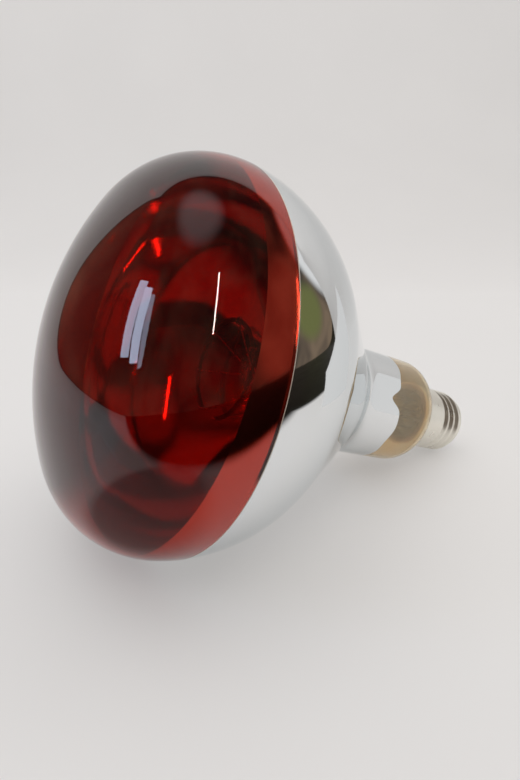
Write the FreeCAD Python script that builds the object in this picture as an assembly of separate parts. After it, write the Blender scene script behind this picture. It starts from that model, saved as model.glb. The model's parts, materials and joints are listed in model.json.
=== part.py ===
"""Infrared reflector lamp with a ruby face and an E27 screw cap, lying at rest.

Each piece is made about the lamp's own axis and then laid down with the others. On that
axis z = 0 is the widest ring of the bulb, the cap is at +z and +x is the side that ends
up on the floor. All sizes are in millimetres.
"""
import os

import FreeCAD
import Part
from math import acos, asin, atan2, cos, degrees, hypot, pi, radians, sin, sqrt

Vector = FreeCAD.Vector

# Blown glass bulb
bulb_radius = 62.5
glass_wall = 1.0
face_radius = 105.0
corner_radius = 31.0
back_radius = 50.0
back_slope = radians(39.0)
flare_radius = 15.0
neck_radius = 21.2
neck_end = 101.6
shoulder_radius = 9.5
collar_radius = 2.5
seal_radius = 11.2
seal_length = 6.1

# Coats on the glass, drawn thicker than real ones and just clear of it so that they hold as solids
coat_gap = 0.06
ruby_coat = 0.15
mirror_coat = 0.15
mirror_set_back = 13.6
coat_edge = 2.1
coat_lean_floor = 0.051
coat_lean_side = 0.007

# Stem, its pinch and the tube it was pumped through
stem_radius = 6.5
stem_wall = 1.0
stem_lip = 1.0
stem_length = 29.5
pinch_length = 14.0
pinch_width = 13.0
pinch_depth = 5.0
exhaust_radius = 2.4
exhaust_wall = 0.9
exhaust_clearance = 2.4

# Filament ring and what carries it
filament_height = 20.0
filament_ring = 17.0
filament_coil = 0.8
filament_gap = radians(20.0)
support_count = 5
support_radius = 0.3
rod_radius = 1.5
button_radius = 3.2
button_offset = 11.5
button_length = 5.0

# Lead wires
lead_radius = 0.4
lead_offset = 4.3
lead_bend = 1.2
lead_rise = 6.0
lead_tail = 1.6
lead_turn_clearance = 0.7

# Screw cap, E27
cap_overlap = 1.4
cap_length = 26.4
cap_wall = 0.45
cement_gap = 1.55
rim_lip_step = 0.45
rim_lip_height = 1.1
skirt_length = 12.0
thread_depth = 1.07
thread_pitch = 3.629
thread_turns = 3.15
thread_set_back = 0.6
thread_round = 1.03
cap_end_opening = 9.2
cap_end_round = 1.2

# Cement, insulator and contact
cement_set_back = 0.6
cement_length = 6.4
insulator_depth = 5.0
insulator_rise = 2.2
insulator_face_radius = 5.8
wire_hole_radius = 1.7
contact_radius = 4.9
contact_thickness = 1.1
contact_seat = 0.4
contact_hole_radius = 1.2
solder_radius = 3.2
solder_height = 0.8
solder_flat_radius = 2.2
side_solder_radius = 2.0

# Bulb curve, worked out so that each run meets the next in a smooth line
face_centre = sqrt((face_radius - corner_radius) ** 2 - (bulb_radius - corner_radius) ** 2)
face_angle = atan2(face_centre, bulb_radius - corner_radius)
flare_reach = (neck_radius + flare_radius - bulb_radius + back_radius) * cos(back_slope)
flare_end = (back_radius + flare_radius - flare_reach) / sin(back_slope)
collar_step = seal_radius + collar_radius - neck_radius + shoulder_radius
collar_end = neck_end + sqrt((shoulder_radius + collar_radius) ** 2 - collar_step ** 2)
shoulder_angle = acos(collar_step / (shoulder_radius + collar_radius))

# Heights along the axis, from the neck towards the contact
mirror_end = neck_end - mirror_set_back
seal_end = collar_end + seal_length
pinch_base = seal_end - stem_length
pinch_top = pinch_base - pinch_length
button_height = filament_height + button_offset
cap_rim = collar_end - cap_overlap
cap_end = cap_rim + cap_length
skirt_end = cap_rim + skirt_length
thread_start = skirt_end + thread_set_back
cement_start = cap_rim + cement_set_back
insulator_start = cap_end - insulator_depth
insulator_face = cap_end + insulator_rise
exhaust_end = insulator_start - exhaust_clearance
contact_face = insulator_face - contact_seat + contact_thickness
solder_face = contact_face + solder_height

# Radii of the shell, which goes round the neck with room for cement, and the lead's line between them
seal_bore = seal_radius - glass_wall
skirt_bore = seal_radius + cement_gap
skirt_radius = skirt_bore + cap_wall
rim_lip_radius = skirt_radius + rim_lip_step
thread_crest_radius = skirt_radius
thread_root_radius = thread_crest_radius - thread_depth
thread_bore = thread_root_radius - cap_wall
lead_line = (skirt_bore + seal_radius) / 2


def line(start, end):
    """Straight edge between two (radius, height) points."""
    return Part.makeLine(Vector(start[0], 0, start[1]), Vector(end[0], 0, end[1]))


def arc(centre, radius, start, end):
    """Round edge about a (radius, height) centre, its angles measured from the outward side."""
    def point(angle):
        return Vector(centre[0] + radius * cos(angle), 0, centre[1] + radius * sin(angle))
    return Part.Arc(point(start), point((start + end) / 2), point(end)).toShape()


def outline(points):
    """Straight edges through a list of (radius, height) points."""
    return [line(start, end) for start, end in zip(points, points[1:])]


def spin(edges):
    """Solid made by turning a closed outline about the lamp's axis."""
    face = Part.Face(Part.Wire(Part.__sortEdges__(edges)))
    return face.revolve(Vector(0, 0, 0), Vector(0, 0, 1), 360)


def disc(radius, start, end):
    """Plain round on the axis between two heights."""
    return Part.makeCylinder(radius, end - start, Vector(0, 0, start))


def round_edges(shape):
    """Circular edges of a plain round."""
    return [edge for edge in shape.Edges if edge.Curve.TypeId.endswith("Circle")]


def bulb_line(depth):
    """Edges of the bulb's curve from the middle of the face to the seal, at a depth in the glass."""
    neck = neck_radius - depth
    seal = seal_radius - depth
    cone_start = (bulb_radius - back_radius + (back_radius - depth) * cos(back_slope),
                  (back_radius - depth) * sin(back_slope))
    cone_end = (neck_radius + flare_radius - (flare_radius + depth) * cos(back_slope),
                flare_end - (flare_radius + depth) * sin(back_slope))
    return [
        arc((0, face_centre), face_radius - depth, -pi / 2, -face_angle),
        arc((bulb_radius - corner_radius, 0), corner_radius - depth, -face_angle, 0),
        arc((bulb_radius - back_radius, 0), back_radius - depth, 0, back_slope),
        line(cone_start, cone_end),
        arc((neck_radius + flare_radius, flare_end), flare_radius + depth, pi + back_slope, pi),
        line((neck, flare_end), (neck, neck_end)),
        arc((neck_radius - shoulder_radius, neck_end), shoulder_radius - depth, 0, shoulder_angle),
        arc((seal_radius + collar_radius, collar_end), collar_radius + depth,
            pi + shoulder_angle, pi),
        line((seal, collar_end), (seal, seal_end)),
    ]


def ends(edges):
    """First and last point of a run of edges, as (radius, height)."""
    first = edges[0].firstVertex().Point
    last = edges[-1].lastVertex().Point
    return (first.x, first.z), (last.x, last.z)


def glass_skin(outer, inner, first, last):
    """Turned skin between two depths, over a stretch of the bulb's curve."""
    outside = bulb_line(outer)[first:last]
    inside = bulb_line(inner)[first:last]
    outer_ends = ends(outside)
    inner_ends = ends(inside)
    closing = [line(outer_ends[0], inner_ends[0]), line(outer_ends[1], inner_ends[1])]
    return spin(outside + inside + closing)


def coat_side(toward_cap):
    """Big block on one side of the slightly leaning edge where red meets mirror."""
    reach = 4 * bulb_radius
    low = 0 if toward_cap else -reach
    block = Part.makeBox(reach, reach, reach, Vector(-reach / 2, -reach / 2, low))
    lean = FreeCAD.Rotation(Vector(0, 0, 1), Vector(-coat_lean_floor, -coat_lean_side, 1))
    block.Placement = FreeCAD.Placement(Vector(0, 0, coat_edge), lean)
    return block


def rounded_path(points, bend):
    """Wire through the points with each inner corner rounded."""
    edges = []
    start = points[0]
    for before, corner, after in zip(points, points[1:], points[2:]):
        toward = (before - corner).normalize()
        away = (after - corner).normalize()
        half = toward.getAngle(away) / 2
        cut = bend / abs(sin(half)) * cos(half)
        middle = corner + (toward + away).normalize() * (bend / sin(half) - bend)
        edges.append(Part.makeLine(start, corner + toward * cut))
        edges.append(Part.Arc(corner + toward * cut, middle, corner + away * cut).toShape())
        start = corner + away * cut
    edges.append(Part.makeLine(start, points[-1]))
    return Part.Wire(edges)


def wire(points, radius, bend):
    """Round wire along a bent path."""
    path = rounded_path(points, bend)
    ring = Part.makeCircle(radius, points[0], points[1] - points[0])
    return path.makePipeShell([Part.Wire(ring)], True, True)


def make_stem():
    """Flared tube sealed to the neck and pressed flat round the leads at its top."""
    flare = seal_bore - stem_radius
    hollow = stem_radius - stem_wall
    flare_low = seal_end - flare
    edges = [arc((seal_bore, flare_low), flare, pi, pi / 2)]
    edges += outline([(seal_bore, seal_end), (seal_radius, seal_end),
                      (seal_radius, seal_end + stem_lip), (seal_bore, seal_end + stem_lip)])
    edges.append(arc((seal_bore, flare_low), flare + stem_lip, pi / 2, pi))
    edges += outline([(hollow, flare_low), (hollow, pinch_base), (0, pinch_base),
                      (0, pinch_base - stem_wall), (stem_radius, pinch_base - stem_wall),
                      (stem_radius, flare_low)])
    corner = Vector(-pinch_depth / 2, -pinch_width / 2, pinch_top)
    pinch = Part.makeBox(pinch_depth, pinch_width, pinch_base - pinch_top, corner)
    pinch = pinch.common(disc(stem_radius, pinch_top, pinch_base))
    return spin(edges).fuse(pinch).removeSplitter()


def make_exhaust_tube():
    """Pumping tube closed by a rounded tip inside the cap."""
    inner = exhaust_radius - exhaust_wall
    tip = exhaust_end - exhaust_radius
    edges = outline([(inner, tip), (inner, pinch_base), (exhaust_radius, pinch_base),
                     (exhaust_radius, tip)])
    edges.append(arc((0, tip), exhaust_radius, 0, pi / 2))
    edges.append(line((0, exhaust_end), (0, tip + inner)))
    edges.append(arc((0, tip), inner, pi / 2, 0))
    return spin(edges)


def make_rod():
    """Glass rod standing on the pinch, with the button that holds the supports."""
    button_top = button_height - button_length / 2
    button_low = button_height + button_length / 2
    button = disc(button_radius, button_top, button_low)
    button = button.makeFillet(button_length / 4, round_edges(button))
    return button.fuse(disc(rod_radius, button_height, pinch_top)).removeSplitter()


def make_filament():
    """Ring of coiled wire, drawn as a plain round of the coil's outer size."""
    circle = Part.makeCircle(filament_coil, Vector(filament_ring, 0, filament_height), Vector(0, 1, 0))
    sweep = 360 - 2 * degrees(filament_gap)
    ring = Part.Face(Part.Wire(circle)).revolve(Vector(0, 0, 0), Vector(0, 0, 1), sweep)
    ring.rotate(Vector(0, 0, 0), Vector(0, 0, 1), degrees(filament_gap))
    return ring


def make_support(number):
    """Hook wire from the button to a loop round the filament."""
    loop_radius = filament_coil + support_radius
    hub = Vector(button_radius / 2, 0, button_height)
    centre = Vector(filament_ring, 0, filament_height)
    join = centre + (hub - centre).normalize() * loop_radius
    arm = Part.makeCylinder(support_radius, (join - hub).Length, hub, join - hub)
    loop = Part.makeTorus(loop_radius, support_radius, centre, Vector(0, 1, 0))
    hook = arm.fuse(loop)
    spacing = (360 - 2 * degrees(filament_gap)) / (support_count + 1)
    hook.rotate(Vector(0, 0, 0), Vector(0, 0, 1), degrees(filament_gap) + number * spacing)
    return hook


def lead_head(side):
    """Points of a lead from the filament's end down through the pinch."""
    ring_x = filament_ring * cos(filament_gap)
    ring_y = filament_ring * sin(filament_gap)
    return [Vector(ring_x, side * ring_y, filament_height - lead_tail),
            Vector(ring_x, side * ring_y, filament_height + lead_tail),
            Vector(0, side * lead_offset, pinch_top - lead_rise)]


def make_contact_lead():
    """Lead that runs past the exhaust tip to the centre contact."""
    points = lead_head(-1)
    points.append(Vector(0, -lead_offset, exhaust_end - exhaust_radius))
    points.append(Vector(0, 0, insulator_start + wire_hole_radius / 2))
    points.append(Vector(0, 0, contact_face))
    return wire(points, lead_radius, lead_bend)


def make_shell_lead():
    """Lead that turns back between neck and skirt to the rim of the shell."""
    lip = seal_end + stem_lip
    points = lead_head(1)
    points.append(Vector(0, lead_offset, seal_end - stem_lip))
    points.append(Vector(0, seal_bore - stem_wall, lip + lead_bend))
    points.append(Vector(0, lead_line, lip + lead_turn_clearance))
    points.append(Vector(0, lead_line, cement_start))
    return wire(points, lead_radius, lead_bend / 2)


def make_cap_shell():
    """Thin screw shell with a rolled lip, a plain skirt and a round helical thread."""
    knee = cap_end - cap_end_round
    slope = skirt_radius - thread_root_radius
    lip_end = cap_rim + rim_lip_height
    edges = outline([(skirt_bore, skirt_end), (skirt_bore, cap_rim), (rim_lip_radius, cap_rim),
                     (rim_lip_radius, lip_end), (skirt_radius, lip_end + rim_lip_step),
                     (skirt_radius, skirt_end), (thread_root_radius, skirt_end + slope),
                     (thread_root_radius, knee)])
    edges.append(arc((thread_root_radius - cap_end_round, knee), cap_end_round, 0, pi / 2))
    edges += outline([(thread_root_radius - cap_end_round, cap_end), (cap_end_opening, cap_end),
                      (cap_end_opening, cap_end - cap_wall), (thread_bore, cap_end - cap_wall),
                      (thread_bore, skirt_end + slope), (skirt_bore, skirt_end)])
    shell = spin(edges)
    # The seam of the turned shell is kept away from both ends of the thread
    shell.rotate(Vector(0, 0, 0), Vector(0, 0, 1), -90)
    return shell.fuse(make_thread()).removeSplitter()


def make_thread():
    """Right-hand round thread ridge, its first crest on the floor side."""
    helix = Part.makeHelix(thread_pitch, thread_pitch * thread_turns, thread_crest_radius)
    core = thread_crest_radius - thread_round
    spread = acos((thread_root_radius - cap_wall / 2 - core) / thread_round)
    crest = arc((core, 0), thread_round, -spread, spread)
    first, last = crest.firstVertex().Point, crest.lastVertex().Point
    ridge_outline = Part.Wire([crest, Part.makeLine(last, first)])
    ridge = Part.Wire(helix.Edges).makePipeShell([ridge_outline], True, True)
    ridge.translate(Vector(0, 0, thread_start))
    return ridge


def make_insulator():
    """Black glass body that fills the end of the shell and seats the contact."""
    seat = insulator_face - contact_seat
    rim = cap_end - cap_wall
    return spin(outline([
        (wire_hole_radius, insulator_start), (thread_bore, insulator_start), (thread_bore, rim),
        (cap_end_opening, rim), (cap_end_opening, cap_end),
        (insulator_face_radius, insulator_face), (contact_radius, insulator_face),
        (contact_radius, seat), (wire_hole_radius, seat), (wire_hole_radius, insulator_start)]))


def make_contact():
    """Round contact plate with a hole for the lead and a softened edge."""
    plate = disc(contact_radius, contact_face - contact_thickness, contact_face)
    top = [edge for edge in round_edges(plate) if edge.BoundBox.ZMin > insulator_face]
    plate = plate.makeFillet(contact_seat, top)
    return plate.cut(disc(contact_hole_radius, contact_face - contact_thickness, contact_face))


def make_contact_solder():
    """Solder that fills the hole of the plate and stands on it as a flat-topped drop."""
    back = contact_face - contact_thickness
    return spin(outline([
        (0, back), (contact_hole_radius, back), (contact_hole_radius, contact_face),
        (solder_radius, contact_face), (solder_flat_radius, solder_face), (0, solder_face), (0, back)]))


def make_side_solder():
    """Drop of solder over the rim of the shell, where its lead ends."""
    drop = Part.makeSphere(side_solder_radius, Vector(0, lead_line, cap_rim))
    return drop.common(disc(rim_lip_radius, cap_rim - side_solder_radius, cement_start))


def make_pieces():
    """All pieces of the lamp by name, standing on the lamp's axis and clear of each other."""
    glass = glass_skin(0, glass_wall, 0, 9)
    bulb_core = spin(bulb_line(0) + [line((0, seal_end), (seal_radius, seal_end)),
                                     line((0, face_centre - face_radius), (0, seal_end))])
    filament = make_filament()
    leads = [make_shell_lead(), make_contact_lead()]
    rod = make_rod()
    stem = make_stem()
    ruby = glass_skin(-coat_gap - ruby_coat, -coat_gap, 0, 3)
    mirror = glass_skin(glass_wall + coat_gap, glass_wall + coat_gap + mirror_coat, 1, 6)
    mirror = mirror.common(disc(bulb_radius, -bulb_radius, mirror_end))
    cement = disc(skirt_bore, cement_start, cement_start + cement_length).cut(bulb_core)
    cap_shell = make_cap_shell()
    pieces = {
        "glass_envelope": glass,
        "ruby_coating": ruby.common(coat_side(False)),
        "mirror_coating": mirror.common(coat_side(True)),
        "stem": stem.cut(Part.makeCompound(leads)),
        "exhaust_tube": make_exhaust_tube(),
        "lead_to_shell": leads[0],
        "lead_to_contact": leads[1],
        "filament": filament.cut(Part.makeCompound(leads)),
        "cap_shell": cap_shell,
        "cap_cement": cement.cut(leads[0]),
        "cap_insulator": make_insulator(),
        "centre_contact": make_contact(),
        "contact_solder": make_contact_solder().cut(leads[1]),
        "side_solder": make_side_solder().cut(bulb_core).cut(cap_shell),
    }
    for number in range(1, support_count + 1):
        hook = make_support(number)
        rod = rod.cut(hook)
        pieces[f"support_{number}"] = hook.cut(filament)
    pieces["stem_rod"] = rod
    return pieces


def resting_tilt(radius, height, rounding):
    """Angle of the axis below level when the bulb's back and a rounding on the cap both touch."""
    drop = (bulb_radius - back_radius) - radius
    return atan2(drop, height) + asin((back_radius - rounding) / hypot(height, drop))


def lying_tilt():
    """Angle at rest, on the last crest of the thread or on the end of the shell."""
    last_crest = thread_start + thread_pitch * int(thread_turns)
    on_thread = resting_tilt(thread_crest_radius - thread_round, last_crest, thread_round)
    on_end = resting_tilt(thread_root_radius - cap_end_round, cap_end - cap_end_round, cap_end_round)
    return min(on_thread, on_end)


def lie_down(pieces):
    """Move all pieces from the lamp's axis to the lying frame, the middle of the box over the origin."""
    tilt = lying_tilt()
    height = (bulb_radius - back_radius) * cos(tilt) + back_radius
    turn = FreeCAD.Rotation(Vector(0, 1, 0), 90 + degrees(tilt))
    nearest = face_centre * cos(tilt) - face_radius - coat_gap - ruby_coat
    contact_reach = (contact_face - contact_seat) * cos(tilt) + (contact_radius - contact_seat) * sin(tilt)
    solder_reach = solder_face * cos(tilt) + solder_flat_radius * sin(tilt)
    farthest = max(contact_reach + contact_seat, solder_reach)
    place = FreeCAD.Placement(Vector(-(nearest + farthest) / 2, 0, height), turn)
    for shape in pieces.values():
        shape.Placement = place.multiply(shape.Placement)


def main():
    os.makedirs("parts", exist_ok=True)
    pieces = make_pieces()
    lie_down(pieces)
    for name, shape in pieces.items():
        shape.exportStep(f"parts/{name}.step")


main()
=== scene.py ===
"""Picture of the infrared reflector lamp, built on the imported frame.

The lamp's sizes are in millimetres, those of the stage and its lights in metres.
"""

import json
from math import acos, asin, atan2, cos, exp, hypot, pi, radians, sin, sqrt

import bmesh
import bpy
from mathutils import Matrix, Quaternion, Vector


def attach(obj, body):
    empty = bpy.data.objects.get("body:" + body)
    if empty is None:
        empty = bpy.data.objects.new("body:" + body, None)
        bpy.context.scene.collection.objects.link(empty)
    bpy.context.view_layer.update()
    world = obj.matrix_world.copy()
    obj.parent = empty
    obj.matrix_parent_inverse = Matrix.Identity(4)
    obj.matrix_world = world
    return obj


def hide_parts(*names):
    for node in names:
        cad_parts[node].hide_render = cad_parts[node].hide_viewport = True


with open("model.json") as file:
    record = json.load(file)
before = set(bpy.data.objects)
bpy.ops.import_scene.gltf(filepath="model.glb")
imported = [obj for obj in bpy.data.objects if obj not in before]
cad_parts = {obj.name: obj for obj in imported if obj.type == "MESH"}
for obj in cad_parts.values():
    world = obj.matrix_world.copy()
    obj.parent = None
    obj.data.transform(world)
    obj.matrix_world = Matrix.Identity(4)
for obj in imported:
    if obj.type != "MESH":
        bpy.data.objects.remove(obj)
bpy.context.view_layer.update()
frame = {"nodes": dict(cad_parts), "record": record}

MM = 0.001

# Bulb, as in the part's source
bulb_radius = 62.5
glass_wall = 1.0
face_radius = 105.0
corner_radius = 31.0
back_radius = 50.0
back_slope = radians(39.0)
flare_radius = 15.0
neck_radius = 21.2
neck_end = 101.6
shoulder_radius = 9.5
collar_radius = 2.5
seal_radius = 11.2
seal_length = 6.1
coat_edge = 2.1
coat_lean_floor = 0.051
coat_lean_side = 0.007

# Mirror film: its start in front of the widest ring, its end before the neck's end, the waves of
# that end as height, count and phase, and one runny spot in it
film_front = 8.0
mirror_set_back = 13.6
film_waves = ((1.5, 2, radians(-70)), (0.5, 5, 0.0), (0.25, 11, 1.0))
spot_height = 5.5
spot_turn = radians(250)
spot_width = radians(8)

# Cap
cap_overlap = 1.4
cap_length = 26.4
cap_wall = 0.45
rim_lip_radius = 13.65
rim_lip_height = 1.1
rim_lip_fall = (0.5, 1.5)
skirt_radius = 13.2
skirt_length = 12.0
thread_crest_radius = 13.2
thread_root_radius = 12.13
thread_pitch = 3.629
thread_turns = 3.15
thread_set_back = 0.6
thread_fade = 0.12
thread_fullness = 0.85
cap_end_opening = 9.2
cap_end_round = 1.2
solder_rise = 3.7

# Filament
filament_height = 20.0
filament_ring = 17.0
filament_coil = 0.8
filament_gap = radians(20.0)
filament_wire = 0.13
filament_turns = 150

# Meshes: steps round and along the pieces, closer rows near the red, a hair between the pieces
round_steps = 192
face_steps = 80
band_steps = 12
back_steps = 110
back_spacing = 1.25
neck_steps = 40
cap_steps = 190
coil_steps = 10
wire_sides = 6
piece_gap = 0.02
sharp_angle = radians(70)

# Heights along the axis
collar_step = seal_radius + collar_radius - neck_radius + shoulder_radius
collar_end = neck_end + sqrt((shoulder_radius + collar_radius) ** 2 - collar_step ** 2)
seal_end = collar_end + seal_length
cap_rim = collar_end - cap_overlap
cap_end = cap_rim + cap_length
skirt_end = cap_rim + skirt_length
skirt_slope = skirt_radius - thread_root_radius
thread_start = skirt_end + thread_set_back
solder_face = cap_end + solder_rise

# Camera, fitted to the photo's edges
camera_place = (-107.48, -160.33, 110.3)
camera_yaw = radians(-30.70)
camera_pitch = radians(-19.55)
camera_lens = 25.55
camera_sensor = 36.0

# Finishes: limits of the noise that their colours and roughness follow, fineness and bump
noise_limits = (0.3, 0.7)
noise_detail = 5.0
grain_detail = 3.0
bump_depth = 0.0005

# Floor and wall, measured along and across the camera's line
floor_near = -2.5
floor_sides = (-2.5, 2.5)
wall_sides = (-1.25, 2.4)
bend_start = 0.45
bend_radius = 0.5
bend_steps = 24
wall_top = 1.6
floor_colours = ((0.43, 0.422, 0.417), (0.45, 0.442, 0.437))
floor_roughness = (0.5, 0.6)
floor_scale = 6
floor_tint = (1.0, 0.985, 0.975)
floor_glow = 0.32
wall_glow = 0.14
wall_glow_rise = ((0, 0, 1), 0.0, 0.8)

# Where the floor ends for mirrors and glass: direction, start and end of the edge along it
front_edge = ((0.304, 0.953, 0), -0.16, -0.13)
beside_edge = ((-0.45, 0.893, 0), -0.205, -0.185)
behind_edge = ((0.139, 0.99, 0), -0.065, -0.05)

# Sides of the floor that glass sees in full, and its share of the rest
near_side = ((0, 1, 0), 0.055, 0.005)
cap_side = ((1, 0, 0), 0.28, 0.5)
glass_share = 0.09

# Spot of the floor that mirrors see dim
shade_place = (-0.118, -0.06, 0)
shade_reach = (0.035, 0.07)
shade_share = 0.4

# Card beside the cap that glows, a painted pale reflection in the cap and neck; its own colours are
# near black
card_near, card_far = (0.1056, -0.1074), (0.1487, -0.0259)
card_bottom = 0.001
card_tops = (0.045, 0.12)
card_colours = ((0.02, 0.02, 0.02), (0.03, 0.03, 0.03))
card_roughness = (0.9, 1.0)
card_tint = (1.0, 0.99, 0.98)
card_glow = 0.7

# Room round the lamp: colours, and bright or olive spots by direction, start and end of the edge
room_bright = (0.75, 0.75, 0.75)
room_dark = (0.04, 0.035, 0.033)
room_brown = (0.2, 0.145, 0.1)
room_olive = (0.15, 0.16, 0.06)
room_scale = 2.6
room_distortion = 0.6
room_blend = (0.4, 0.65)
ceiling_spot = ((-0.18, 0.22, 0.959), 0.945, 0.992)
panel_spot = ((0.87, 0.12, 0.48), 0.93, 0.96)
olive_spot = ((0.855, -0.43, 0.29), 0.97, 0.993)

# Pale sides of the room that only glass shows, each with its brightness
glass_glows = (
    (((-0.616, 0.788, 0), 0.0, 0.25), 1.0),
    (((-0.137, -0.512, 0.848), 0.91, 0.975), 0.55),
    (((-0.837, -0.224, 0.5), 0.86, 0.95), 0.5),
    (((0.6, -0.7, 0.387), 0.8, 0.93), 0.4),
)

# Lights: place, target, size, watts and colour
overhead_light = ((0.1, 0.1, 1.6), (0, 0, 0), (3.2, 3.2), 42, (1.0, 0.99, 0.98))
tube_light = ((-0.45, -0.6, 0.85), (-0.05, -0.05, 0.09), (0.02, 0.55), 1.0, (1.0, 0.98, 0.92))
window_place = (-0.91, 0.337, 0.469)
window_run = (0.35, 0.9, 0)
window_target = (-0.068, -0.041, 0.082)
window_panes = ((-0.08, 0.3), (0.0, 0.7), (0.08, 0.55))
pane_size = (0.066, 0.4)
window_colour = (0.62, 0.75, 1.0)
window_roll = radians(25)

turns_round = [2 * pi * k / round_steps for k in range(round_steps)]


def lamp_matrix():
    """Lamp axis to row frame: z = 0 is the widest ring, +z the cap and +x the floor side."""
    mount = next(m for m in frame["record"]["mounts"] if m["name"] == "centre_contact")
    axis = Vector(mount["axis"]).normalized()
    side = Vector((0, 1, 0))
    floor_side = side.cross(axis)
    origin = Vector(mount["pos_m"]) - axis * solder_face * MM
    turn = Matrix((floor_side, side, axis)).transposed().to_4x4()
    return Matrix.Translation(origin) @ turn @ Matrix.Scale(MM, 4)


def arc(centre, radius, start, end):
    """Length of a round run, and its point and outward normal at a share of it."""
    outward = 1 if end > start else -1

    def at(share):
        angle = start + (end - start) * share
        point = (centre[0] + radius * cos(angle), centre[1] + radius * sin(angle))
        return point, (outward * cos(angle), outward * sin(angle))
    return radius * abs(end - start), at


def line(start, end):
    """Length of a straight run, and its point and outward normal at a share of it."""
    length = hypot(end[0] - start[0], end[1] - start[1])
    normal = ((end[1] - start[1]) / length, (start[0] - end[0]) / length)

    def at(share):
        point = (start[0] + (end[0] - start[0]) * share, start[1] + (end[1] - start[1]) * share)
        return point, normal
    return length, at


def bulb_segments():
    """Runs of the bulb's curve, in radius and height, from the middle of the face to the seal."""
    face_centre = sqrt((face_radius - corner_radius) ** 2 - (bulb_radius - corner_radius) ** 2)
    face_angle = atan2(face_centre, bulb_radius - corner_radius)
    flare_reach = (neck_radius + flare_radius - bulb_radius + back_radius) * cos(back_slope)
    flare_end = (back_radius + flare_radius - flare_reach) / sin(back_slope)
    shoulder_angle = acos(collar_step / (shoulder_radius + collar_radius))
    cone_start = (bulb_radius - back_radius + back_radius * cos(back_slope),
                  back_radius * sin(back_slope))
    cone_end = (neck_radius + flare_radius - flare_radius * cos(back_slope),
                flare_end - flare_radius * sin(back_slope))
    return [
        arc((0, face_centre), face_radius, -pi / 2, -face_angle),
        arc((bulb_radius - corner_radius, 0), corner_radius, -face_angle, 0),
        arc((bulb_radius - back_radius, 0), back_radius, 0, back_slope),
        line(cone_start, cone_end),
        arc((neck_radius + flare_radius, flare_end), flare_radius, pi + back_slope, pi),
        line((neck_radius, flare_end), (neck_radius, neck_end)),
        arc((neck_radius - shoulder_radius, neck_end), shoulder_radius, 0, shoulder_angle),
        arc((seal_radius + collar_radius, collar_end), collar_radius, pi + shoulder_angle, pi),
        line((seal_radius, collar_end), (seal_radius, seal_end)),
    ]


segments = bulb_segments()
bulb_length = sum(length for length, _ in segments)
widest = segments[0][0] + segments[1][0]
neck_run = sum(length for length, _ in segments[:6])


def bulb_point(run, depth):
    """(radius, height) on the bulb at a length along its curve and a depth in the glass."""
    for length, at in segments:
        if run <= length:
            break
        run -= length
    point, normal = at(min(run / length, 1))
    return point[0] - normal[0] * depth, point[1] - normal[1] * depth


def edge_run(turn):
    """Length along the curve where the red ends, at an angle round the axis."""
    height = coat_edge + bulb_radius * (coat_lean_floor * cos(turn) + coat_lean_side * sin(turn))
    radius = back_radius if height > 0 else corner_radius
    return widest + radius * asin(height / radius)


def front_run(turn):
    """Length along the curve where the mirror film begins behind the red, level all round."""
    return widest - corner_radius * asin(film_front / corner_radius)


def film_run(turn):
    """Length along the curve where the mirror film ends on the neck."""
    wave = sum(height * sin(count * turn + phase) for height, count, phase in film_waves)
    spot = spot_height * exp(-((turn - spot_turn) / spot_width) ** 2)
    return neck_run - mirror_set_back - wave - spot


def new_piece(name, verts, faces):
    """Mesh object placed on the lamp's axis and tied to the frame."""
    mesh = bpy.data.meshes.new(name)
    mesh.from_pydata(verts, [], faces)
    mesh.transform(lamp_matrix())
    check = bmesh.new()
    check.from_mesh(mesh)
    bmesh.ops.recalc_face_normals(check, faces=check.faces)
    check.to_mesh(mesh)
    check.free()
    mesh.polygons.foreach_set("use_smooth", [True] * len(mesh.polygons))
    mesh.set_sharp_from_angle(angle=sharp_angle)
    piece = bpy.data.objects.new(name, mesh)
    bpy.context.scene.collection.objects.link(piece)
    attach(piece, "root")
    return piece


def ring_faces(rows, columns, closed_rows=False):
    """Quads of a grid that closes round the axis, and along its rows too if asked."""
    faces = []
    for row in range(rows if closed_rows else rows - 1):
        after = (row + 1) % rows
        for column in range(columns):
            beside = (column + 1) % columns
            faces.append((row * columns + column, row * columns + beside,
                          after * columns + beside, after * columns + column))
    return faces


def around(radius, height, turn):
    """Point at a radius, height and angle round the axis."""
    return radius * cos(turn), radius * sin(turn), height


def shell_piece(name, stretches, spacing=1.0):
    """Closed skin of glass along stretches of the bulb, each from a start to an end in some steps.
    Starts and ends are lengths along the curve that may change round the axis."""
    rows = []
    for start, end, steps in stretches:
        first = 1 if rows else 0
        rows += [(start, end, step / steps) for step in range(first, steps + 1)]
    verts = []
    for depth, order in ((0, rows), (glass_wall, rows[::-1])):
        for start, end, share in order:
            for turn in turns_round:
                low, high = start(turn), end(turn)
                radius, height = bulb_point(low + (high - low) * share ** spacing, depth)
                verts.append(around(radius, height, turn))
    return new_piece(name, verts, ring_faces(2 * len(rows), round_steps, closed_rows=True))


def soft_step(value, start, end):
    """Smooth step of a value, 0 at start and 1 at end."""
    share = min(max((value - start) / (end - start), 0), 1)
    return share * share * (3 - 2 * share)


def thread_rise(height, turn):
    """Share of the thread's depth at a place on the shell, from its helical ridge."""
    turns = (height - thread_start) / thread_pitch
    phase = turn / (2 * pi)
    crest = round(turns - phase) + phase
    away = (turns - crest) * 2 * pi
    fade_in = soft_step(crest, -thread_fade, thread_fade)
    fade_out = 1 - soft_step(crest, thread_turns - thread_fade, thread_turns + thread_fade)
    return fade_in * fade_out * (0.5 + 0.5 * cos(away)) ** thread_fullness


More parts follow.
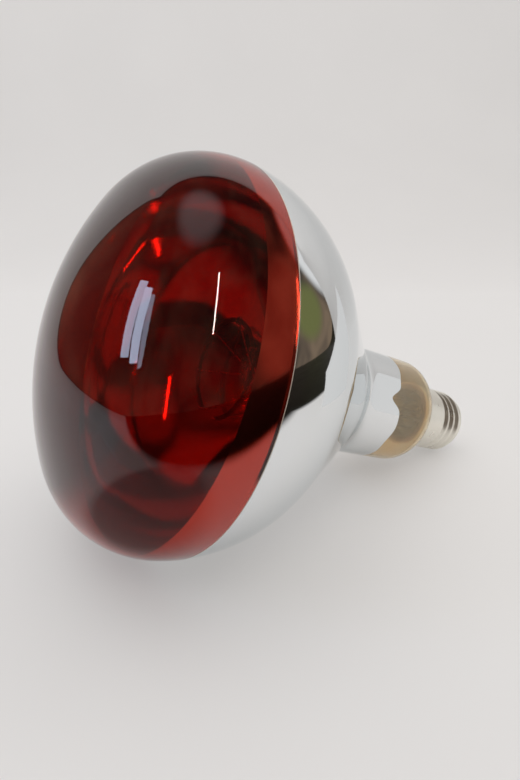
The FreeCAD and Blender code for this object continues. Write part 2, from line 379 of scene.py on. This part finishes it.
def shell_radius(height, turn):
    """Outer radius of the screw shell."""
    lip_start, lip_end = (cap_rim + rim_lip_height * share for share in rim_lip_fall)
    if height < lip_end:
        fallen = soft_step(height, lip_start, lip_end)
        return rim_lip_radius - (rim_lip_radius - skirt_radius) * fallen
    skirt = skirt_radius - skirt_slope * soft_step(height, skirt_end, skirt_end + skirt_slope)
    depth = thread_crest_radius - thread_root_radius
    ridge = thread_root_radius + depth * thread_rise(height, turn)
    knee = cap_end - cap_end_round
    drop = 0
    if height > knee:
        drop = cap_end_round - sqrt(max(cap_end_round ** 2 - (height - knee) ** 2, 0))
    return max(skirt, ridge) - drop


def cap_piece():
    """Screw shell with its rolled lip, skirt and helical thread."""
    heights = [cap_rim + (cap_end - cap_rim) * step / cap_steps for step in range(cap_steps + 1)]
    bore = skirt_radius - cap_wall
    inner = thread_root_radius - cap_wall
    inside = [(cap_end_opening, cap_end), (cap_end_opening, cap_end - cap_wall),
              (inner, cap_end - cap_wall), (inner, skirt_end + skirt_slope),
              (bore, skirt_end), (bore, cap_rim)]
    verts = [around(shell_radius(height, turn), height, turn)
             for height in heights for turn in turns_round]
    verts += [around(radius, height, turn) for radius, height in inside for turn in turns_round]
    rows = len(heights) + len(inside)
    return new_piece("screw_shell", verts, ring_faces(rows, round_steps, closed_rows=True))


def coil_piece():
    """The filament's coil, wound along its ring."""
    count = filament_turns * coil_steps
    sweep = 2 * (pi - filament_gap)
    reach = filament_coil - filament_wire

    def centre(step):
        run = filament_gap + sweep * step / count
        wind = 2 * pi * step / coil_steps
        radius = filament_ring + reach * cos(wind)
        return Vector(around(radius, filament_height + reach * sin(wind), run))

    verts = []
    for step in range(count + 1):
        here = centre(step)
        ahead = (centre(step + 1) - centre(step - 1)).normalized()
        across = ahead.cross(Vector((0, 0, 1))).normalized()
        over = ahead.cross(across)
        for side in range(wire_sides):
            angle = 2 * pi * side / wire_sides
            point = here + (across * cos(angle) + over * sin(angle)) * filament_wire
            verts.append(tuple(point))
    return new_piece("filament_coil", verts, ring_faces(count + 1, wire_sides))


def two_colours(nodes, links, value, limits, colours):
    """Colour that turns from one into another between two limits of a shader value."""
    ramp = nodes.new("ShaderNodeValToRGB")
    for element, limit, colour in zip(ramp.color_ramp.elements, limits, colours):
        element.position = limit
        element.color = (*colour, 1)
    links.new(value, ramp.inputs["Fac"])
    return ramp.outputs["Color"]


def material(name, colours, roughness, metallic=0.0, scale=60.0, bump=0.0, bump_scale=200.0):
    """Finish of two close colours and a roughness range broken up by noise, with a fine bump."""
    made = bpy.data.materials.new(name)
    made.use_nodes = True
    nodes, links = made.node_tree.nodes, made.node_tree.links
    shader = nodes["Principled BSDF"]
    place = nodes.new("ShaderNodeTexCoord").outputs["Object"]
    noise = nodes.new("ShaderNodeTexNoise")
    noise.inputs["Scale"].default_value = scale
    noise.inputs["Detail"].default_value = noise_detail
    links.new(place, noise.inputs["Vector"])
    base = two_colours(nodes, links, noise.outputs["Fac"], noise_limits, colours)
    links.new(base, shader.inputs["Base Color"])
    rough = nodes.new("ShaderNodeMapRange")
    for socket, value in zip(("From Min", "From Max", "To Min", "To Max"),
                             (*noise_limits, *roughness)):
        rough.inputs[socket].default_value = value
    links.new(noise.outputs["Fac"], rough.inputs["Value"])
    links.new(rough.outputs["Result"], shader.inputs["Roughness"])
    shader.inputs["Metallic"].default_value = metallic
    if bump:
        grain = nodes.new("ShaderNodeTexNoise")
        grain.inputs["Scale"].default_value = bump_scale
        grain.inputs["Detail"].default_value = grain_detail
        links.new(place, grain.inputs["Vector"])
        relief = nodes.new("ShaderNodeBump")
        relief.inputs["Strength"].default_value = bump
        relief.inputs["Distance"].default_value = bump_depth
        links.new(grain.outputs["Fac"], relief.inputs["Height"])
        links.new(relief.outputs["Normal"], shader.inputs["Normal"])
    return made, shader


def make_materials():
    """All finishes of the lamp, by the record's slot names and a few names of the scene's own."""
    ruby, shader = material("ruby", ((0.43, 0.032, 0.015), (0.5, 0.038, 0.019)), (0.0, 0.03),
                            scale=25)
    shader.inputs["Transmission Weight"].default_value = 1.0
    shader.inputs["IOR"].default_value = 1.5
    silver, shader = material("silver_outside", ((0.84, 0.85, 0.855), (0.89, 0.9, 0.905)),
                              (0.03, 0.07), metallic=1.0, scale=18)
    shader.inputs["Coat Weight"].default_value = 1.0
    shader.inputs["Coat Roughness"].default_value = 0.02
    shader.inputs["Coat Tint"].default_value = (0.965, 0.975, 0.98, 1)
    shader.inputs["Specular Tint"].default_value = (0.74, 0.77, 0.78, 1)
    inside, _ = material("silver_inside", ((0.84, 0.84, 0.83), (0.9, 0.9, 0.89)), (0.05, 0.12),
                         metallic=1.0, scale=40)
    edge, _ = material("coat_edge", ((0.72, 0.62, 0.52), (0.82, 0.74, 0.66)), (0.3, 0.5), scale=300)
    nickel, _ = material("nickel", ((0.8, 0.77, 0.69), (0.88, 0.85, 0.77)), (0.26, 0.36),
                         metallic=1.0, scale=140, bump=0.15, bump_scale=900)
    black, _ = material("black_glass", ((0.01, 0.01, 0.012), (0.025, 0.025, 0.028)), (0.1, 0.25),
                        scale=200, bump=0.2, bump_scale=400)
    brass, _ = material("brass", ((0.6, 0.47, 0.22), (0.72, 0.58, 0.3)), (0.22, 0.4),
                        metallic=1.0, scale=250, bump=0.2)
    solder, _ = material("solder", ((0.5, 0.51, 0.52), (0.64, 0.65, 0.66)), (0.3, 0.5),
                         metallic=1.0, scale=500, bump=0.4)
    cement, _ = material("cement", ((0.5, 0.44, 0.35), (0.66, 0.6, 0.5)), (0.8, 0.95),
                         scale=500, bump=0.8)
    stem, shader = material("stem_glass", ((0.86, 0.92, 0.9), (0.92, 0.95, 0.94)), (0.01, 0.05),
                            scale=80)
    shader.inputs["Transmission Weight"].default_value = 1.0
    neck, shader = material("neck_glass", ((0.97, 0.76, 0.47), (1.0, 0.88, 0.62)), (0.02, 0.1),
                            scale=90)
    shader.inputs["Transmission Weight"].default_value = 0.8
    wire, _ = material("nickel_wire", ((0.55, 0.54, 0.52), (0.68, 0.67, 0.64)), (0.2, 0.35),
                       metallic=1.0, scale=400)
    tungsten, _ = material("tungsten", ((0.2, 0.2, 0.21), (0.3, 0.3, 0.31)), (0.35, 0.5),
                           metallic=1.0, scale=600)
    return {"ruby_lacquer": ruby, "mirror_film": silver, "mirror_inside": inside, "coat_edge": edge,
            "clear_glass": neck, "nickel_cap": nickel, "black_glass": black, "contact_brass": brass,
            "solder": solder, "cap_cement": cement, "stem_glass": stem, "nickel_wire": wire,
            "molybdenum": wire, "tungsten": tungsten}


def dress(piece, slot, finishes, *nodes):
    """Give a piece the finish of a record slot, and hide the solids it stands for."""
    piece.data.materials.append(finishes[slot])
    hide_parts(*nodes)


def finish_rows(piece, first, last, finish):
    """Give the faces in some rows of a piece a finish of their own."""
    piece.data.materials.append(finish)
    number = len(piece.data.materials) - 1
    for face in piece.data.polygons[first * round_steps:(last + 1) * round_steps]:
        face.material_index = number


def build_lamp(finishes):
    """All pieces of the lamp that are drawn finer than the solids."""
    face = shell_piece("ruby_face", [(lambda turn: piece_gap, front_run, face_steps),
                                     (front_run, edge_run, band_steps)])
    dress(face, "ruby_lacquer", finishes, "ruby_coating")
    face_edge = face_steps + band_steps
    finish_rows(face, face_edge + 1, face_edge + band_steps, finishes["mirror_inside"])
    back = shell_piece("mirror_back", [(lambda turn: edge_run(turn) + piece_gap,
                                        film_run, back_steps)], back_spacing)
    dress(back, "mirror_film", finishes, "mirror_coating")
    finish_rows(back, back_steps + 1, 2 * back_steps + 1, finishes["mirror_inside"])
    finish_rows(back, 0, 0, finishes["coat_edge"])
    neck = shell_piece("neck_glass", [(lambda turn: film_run(turn) + piece_gap,
                                       lambda turn: bulb_length, neck_steps)])
    dress(neck, "clear_glass", finishes, "glass_envelope")
    dress(cap_piece(), "nickel_cap", finishes, "cap_shell")
    dress(coil_piece(), "tungsten", finishes, "filament")


def dress_solids(finishes):
    """Finishes for the solids that are shown as they are."""
    slots = {part["node"]: part["material_slot"] for part in frame["record"]["subparts"]}
    for name, node in frame["nodes"].items():
        if node.hide_render:
            continue
        node.data.materials.clear()
        node.data.materials.append(finishes[slots[name]])


def smooth_share(nodes, links, value, start, end):
    """Smooth step of a shader value, 0 at start and 1 at end."""
    step = nodes.new("ShaderNodeMapRange")
    step.interpolation_type = "SMOOTHSTEP"
    step.inputs["From Min"].default_value = start
    step.inputs["From Max"].default_value = end
    links.new(value, step.inputs["Value"])
    return step.outputs["Result"]


def measure(nodes, links, place, other, operation):
    """Product of a place or direction with a fixed line, or its distance from a fixed point."""
    both = nodes.new("ShaderNodeVectorMath")
    both.operation = operation
    both.inputs[1].default_value = other
    links.new(place, both.inputs[0])
    return both.outputs["Value"]


def edge_share(nodes, links, place, edge):
    """Share that rises along a direction, between the start and the end of an edge."""
    direction, start, end = edge
    reach = measure(nodes, links, place, direction, "DOT_PRODUCT")
    return smooth_share(nodes, links, reach, start, end)


def combine(nodes, links, operation, first, *others):
    """Values put together by a sum, difference, product, least or greatest."""
    for other in others:
        both = nodes.new("ShaderNodeMath")
        both.operation = operation
        for socket, value in zip(both.inputs, (first, other)):
            if isinstance(value, float):
                socket.default_value = value
            else:
                links.new(value, socket)
        first = both.outputs["Value"]
    return first


def mixed(nodes, links, share, colour, other):
    """One colour turning into another by a share."""
    blend = nodes.new("ShaderNodeMix")
    blend.data_type = "RGBA"
    links.new(share, blend.inputs["Factor"])
    links.new(colour, blend.inputs["A"])
    blend.inputs["B"].default_value = (*other, 1)
    return blend.outputs["Result"]


def floor_seen(nodes, links, place):
    """Share of the floor's brightness: all for the camera, in places less for mirrors and glass."""
    path = nodes.new("ShaderNodeLightPath").outputs
    through_glass = path["Is Transmission Ray"]
    front, beside, behind = (edge_share(nodes, links, place, edge)
                             for edge in (front_edge, beside_edge, behind_edge))
    within = combine(nodes, links, "MAXIMUM", beside, behind)
    within = combine(nodes, links, "MINIMUM", front, within)
    not_glass = combine(nodes, links, "SUBTRACT", 1.0, through_glass)
    glass_sides = combine(nodes, links, "MAXIMUM", edge_share(nodes, links, place, near_side),
                          edge_share(nodes, links, place, cap_side), not_glass, glass_share)
    distance = measure(nodes, links, place, shade_place, "DISTANCE")
    shade = combine(nodes, links, "MAXIMUM", smooth_share(nodes, links, distance, *shade_reach),
                    through_glass, shade_share)
    mirrored = combine(nodes, links, "MULTIPLY", within, glass_sides, shade)
    return combine(nodes, links, "MAXIMUM", mirrored, path["Is Camera Ray"])


def floor_material():
    """Pale paper with some light of its own, which ends before the lamp for mirrors and glass."""
    pale, shader = material("pale_floor", floor_colours, floor_roughness, scale=floor_scale)
    nodes, links = pale.node_tree.nodes, pale.node_tree.links
    place = nodes.new("ShaderNodeTexCoord").outputs["Object"]
    seen = floor_seen(nodes, links, place)
    rise = edge_share(nodes, links, place, wall_glow_rise)
    glow = combine(nodes, links, "MULTIPLY", rise, wall_glow)
    glow = combine(nodes, links, "ADD", glow, floor_glow)
    glow = combine(nodes, links, "MULTIPLY", glow, seen)
    links.new(glow, shader.inputs["Emission Strength"])
    shader.inputs["Emission Color"].default_value = (*floor_tint, 1)
    dimmer = nodes.new("ShaderNodeVectorMath")
    dimmer.operation = "SCALE"
    links.new(shader.inputs["Base Color"].links[0].from_socket, dimmer.inputs[0])
    links.new(seen, dimmer.inputs["Scale"])
    links.new(dimmer.outputs["Vector"], shader.inputs["Base Color"])
    return pale


def stage_piece(name, verts, faces, finish):
    """Mesh object of the stage."""
    mesh = bpy.data.meshes.new(name)
    mesh.from_pydata(verts, [], faces)
    mesh.polygons.foreach_set("use_smooth", [True] * len(mesh.polygons))
    mesh.materials.append(finish)
    piece = bpy.data.objects.new(name, mesh)
    bpy.context.scene.collection.objects.link(piece)
    return piece


def build_stage():
    """Pale floor with a wall that sweeps up behind the lamp."""
    away = Vector((-sin(camera_yaw), cos(camera_yaw), 0))
    across = Vector((away.y, -away.x, 0))
    rows = [(floor_near, 0.0, floor_sides), (bend_start, 0.0, wall_sides)]
    for step in range(1, bend_steps + 1):
        angle = step * pi / (2 * bend_steps)
        run, rise = bend_radius * sin(angle), bend_radius * (1 - cos(angle))
        rows.append((bend_start + run, rise, wall_sides))
    rows.append((bend_start + bend_radius, wall_top, wall_sides))
    verts = [away * run + across * side + Vector((0, 0, rise))
             for run, rise, sides in rows for side in sides]
    faces = [(2 * k, 2 * k + 1, 2 * k + 3, 2 * k + 2) for k in range(len(rows) - 1)]
    stage_piece("floor", verts, faces, floor_material())


def build_card():
    """Card beside the cap that glows, a painted pale reflection seen only in mirrors and glass."""
    verts = [(*card_near, card_bottom), (*card_far, card_bottom),
             (*card_far, card_tops[1]), (*card_near, card_tops[0])]
    pale, shader = material("glowing_card", card_colours, card_roughness)
    # The card's glow is a painted reflection, not a lamp: it brightens the cap and neck in mirrors
    # and glass
    shader.inputs["Emission Color"].default_value = (*card_tint, 1)
    shader.inputs["Emission Strength"].default_value = card_glow
    card = stage_piece("card", verts, [(0, 1, 2, 3)], pale)
    card.visible_camera = False
    card.visible_diffuse = False
    card.visible_shadow = False


def area_light(name, place, target, size, watts, colour, roll=0.0):
    """Soft light panel aimed at a point."""
    light = bpy.data.lights.new(name, "AREA")
    light.shape = "RECTANGLE"
    light.size, light.size_y = size
    light.energy = watts
    light.color = colour
    lamp = bpy.data.objects.new(name, light)
    bpy.context.scene.collection.objects.link(lamp)
    lamp.location = place
    aim = (Vector(target) - Vector(place)).to_track_quat("-Z", "Y")
    lamp.rotation_euler = (aim @ Quaternion((0, 0, 1), roll)).to_euler()
    return lamp


def build_world():
    """Dim brownish room with a bright ceiling that comes lower to one side.
    The camera sees all of it pale."""
    world = bpy.context.scene.world or bpy.data.worlds.new("room")
    bpy.context.scene.world = world
    world.use_nodes = True
    nodes, links = world.node_tree.nodes, world.node_tree.links
    place = nodes.new("ShaderNodeTexCoord").outputs["Generated"]
    path = nodes.new("ShaderNodeLightPath").outputs
    noise = nodes.new("ShaderNodeTexNoise")
    noise.inputs["Scale"].default_value = room_scale
    noise.inputs["Distortion"].default_value = room_distortion
    links.new(place, noise.inputs["Vector"])
    room = two_colours(nodes, links, noise.outputs["Fac"], room_blend, (room_dark, room_brown))
    pale = combine(nodes, links, "MAXIMUM", path["Is Camera Ray"],
                   edge_share(nodes, links, place, ceiling_spot),
                   edge_share(nodes, links, place, panel_spot))
    for edge, brightness in glass_glows:
        glow = combine(nodes, links, "MULTIPLY", edge_share(nodes, links, place, edge), brightness,
                       path["Is Transmission Ray"])
        pale = combine(nodes, links, "MAXIMUM", pale, glow)
    olive = edge_share(nodes, links, place, olive_spot)
    room = mixed(nodes, links, olive, room, room_olive)
    links.new(mixed(nodes, links, pale, room, room_bright), nodes["Background"].inputs["Color"])


def build_lights():
    """Soft light from above that mirrors don't show, a window and a thin tube."""
    overhead = area_light("overhead", *overhead_light)
    overhead.visible_glossy = False
    overhead.visible_transmission = False
    for shift, watts in window_panes:
        place = Vector(window_place) + Vector(window_run) * shift
        window = area_light("window", place, window_target, pane_size, watts, window_colour,
                            window_roll)
        window.visible_transmission = False
    area_light("tube", *tube_light)


def place_camera():
    """Camera at the photo's viewing angle."""
    camera = bpy.data.cameras.new("camera")
    camera.lens = camera_lens
    camera.sensor_width = camera_sensor
    view = bpy.data.objects.new("camera", camera)
    bpy.context.scene.collection.objects.link(view)
    view.location = Vector(camera_place) * MM
    view.rotation_euler = (pi / 2 + camera_pitch, 0, camera_yaw)
    bpy.context.scene.camera = view
    bpy.context.scene.view_settings.view_transform = "Standard"


finishes = make_materials()
build_lamp(finishes)
dress_solids(finishes)
build_stage()
build_card()
build_lights()
build_world()
place_camera()
